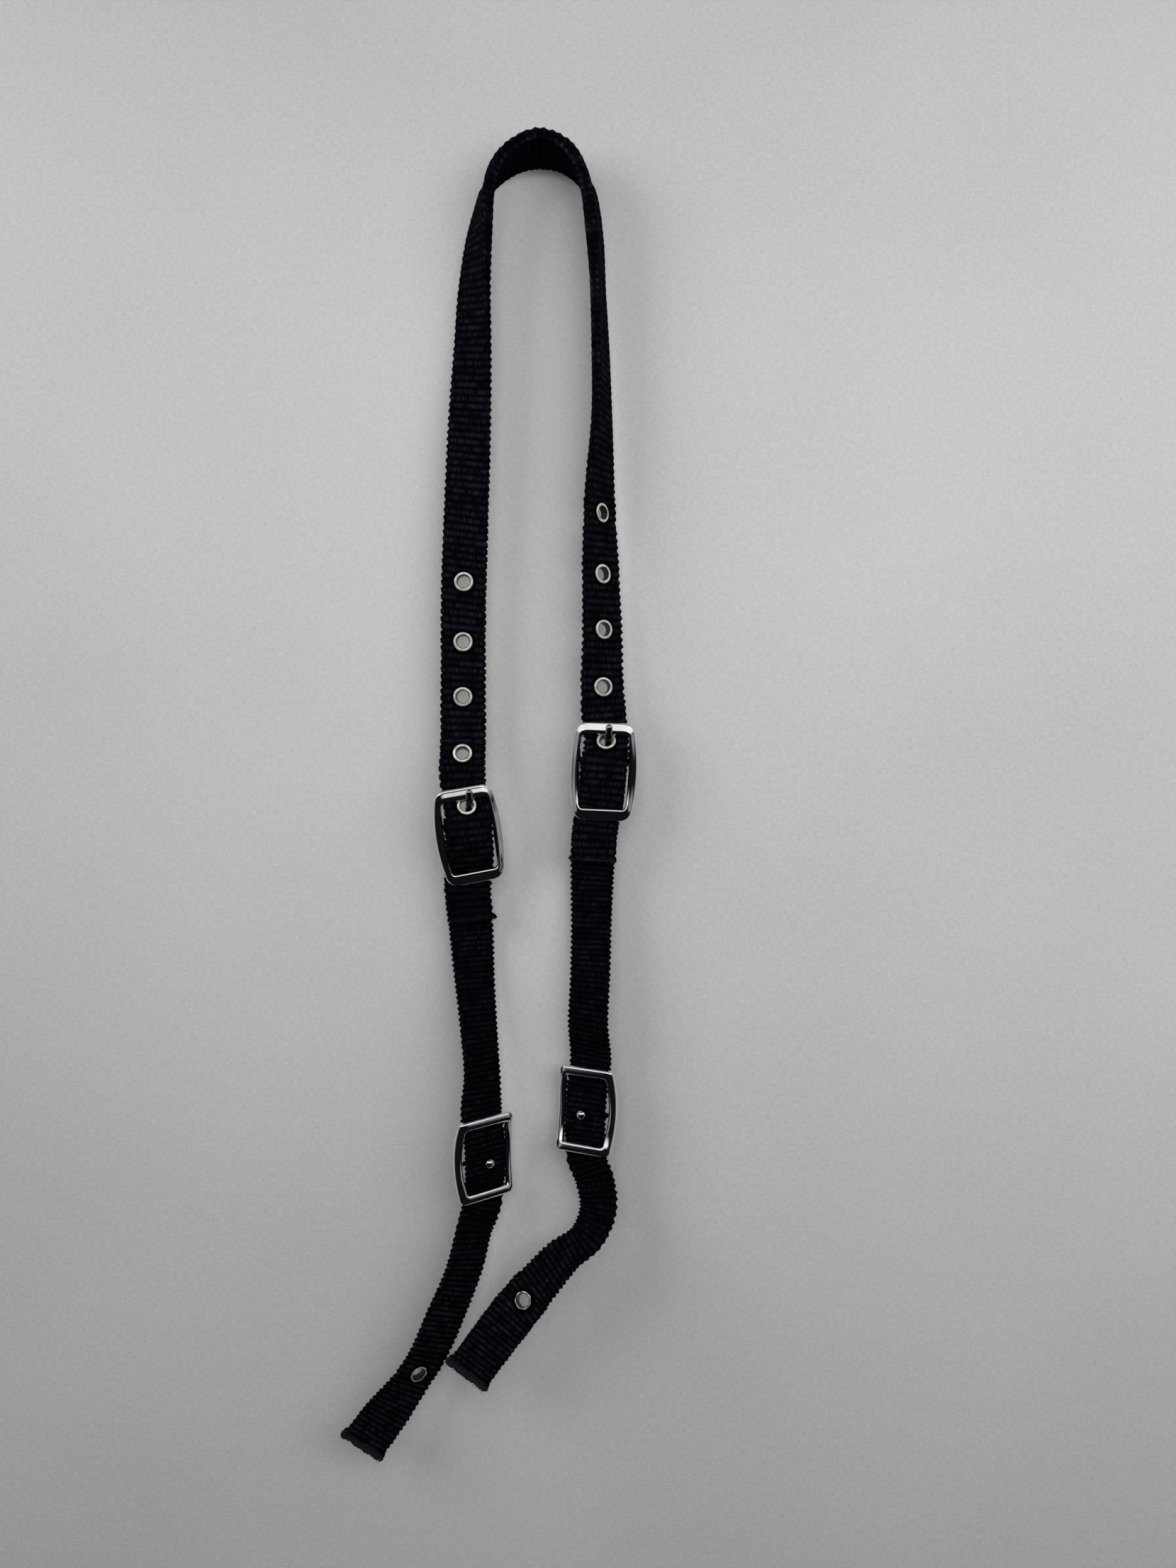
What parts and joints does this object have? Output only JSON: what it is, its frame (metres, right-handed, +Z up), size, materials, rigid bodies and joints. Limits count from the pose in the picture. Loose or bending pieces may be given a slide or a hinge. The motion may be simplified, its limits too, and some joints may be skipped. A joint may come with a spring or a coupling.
{
  "type": "headstall",
  "caption": "Webbing headstall: a crown strap over the poll, a tongue buckle at each side, and cheek straps with stud buckles ending in bit tabs.",
  "frame": {"origin": "underside of the crown strap where it rests on what carries it", "axes": "+Z up along the hanging straps, +X to the viewer's right, +Y away from the viewer"},
  "size_m": [0.1292, 0.0312, 0.5804],
  "materials": {
    "webbing": "ribbed nylon weave, dull",
    "chrome": "bright plating, lightly scratched",
    "nickel": "nickel plated"
  },
  "bodies": {
    "crown": {"crown_strap": "webbing", "buckle_frame_left": "chrome", "buckle_frame_right": "chrome", "eyelet_left_1": "nickel", "eyelet_left_2": "nickel", "eyelet_left_3": "nickel", "eyelet_left_4": "nickel", "eyelet_left_5": "nickel", "eyelet_right_1": "nickel", "eyelet_right_2": "nickel", "eyelet_right_3": "nickel", "eyelet_right_4": "nickel", "eyelet_right_5": "nickel"},
    "tongue_left": {"tongue_left": "chrome"},
    "tongue_right": {"tongue_right": "chrome"},
    "cheek_left": {"cheek_strap_left": "webbing", "stud_buckle_left": "chrome", "tab_eyelet_left": "nickel"},
    "cheek_right": {"cheek_strap_right": "webbing", "stud_buckle_right": "chrome", "tab_eyelet_right": "nickel"}
  },
  "joints": [
    {"name": "tongue_pivot_left", "type": "hinge", "parent": "crown", "child": "tongue_left", "pos_m": [-0.03156, -0.00233, -0.29866], "axis": [0.9621, 0.2119, 0.1715], "range_deg": [0, 6]},
    {"name": "cheek_swing_left", "type": "hinge", "parent": "crown", "child": "cheek_left", "pos_m": [-0.03156, -0.00233, -0.29866], "axis": [0.9621, 0.2119, 0.1715], "range_deg": [0, 60]},
    {"name": "tongue_pivot_right", "type": "hinge", "parent": "crown", "child": "tongue_right", "pos_m": [0.02888, -0.00131, -0.2711], "axis": [0.9978, -0.0523, -0.0419], "range_deg": [0, 6]},
    {"name": "cheek_swing_right", "type": "hinge", "parent": "crown", "child": "cheek_right", "pos_m": [0.02888, -0.00131, -0.2711], "axis": [0.9978, -0.0523, -0.0419], "range_deg": [0, 60]}
  ]
}
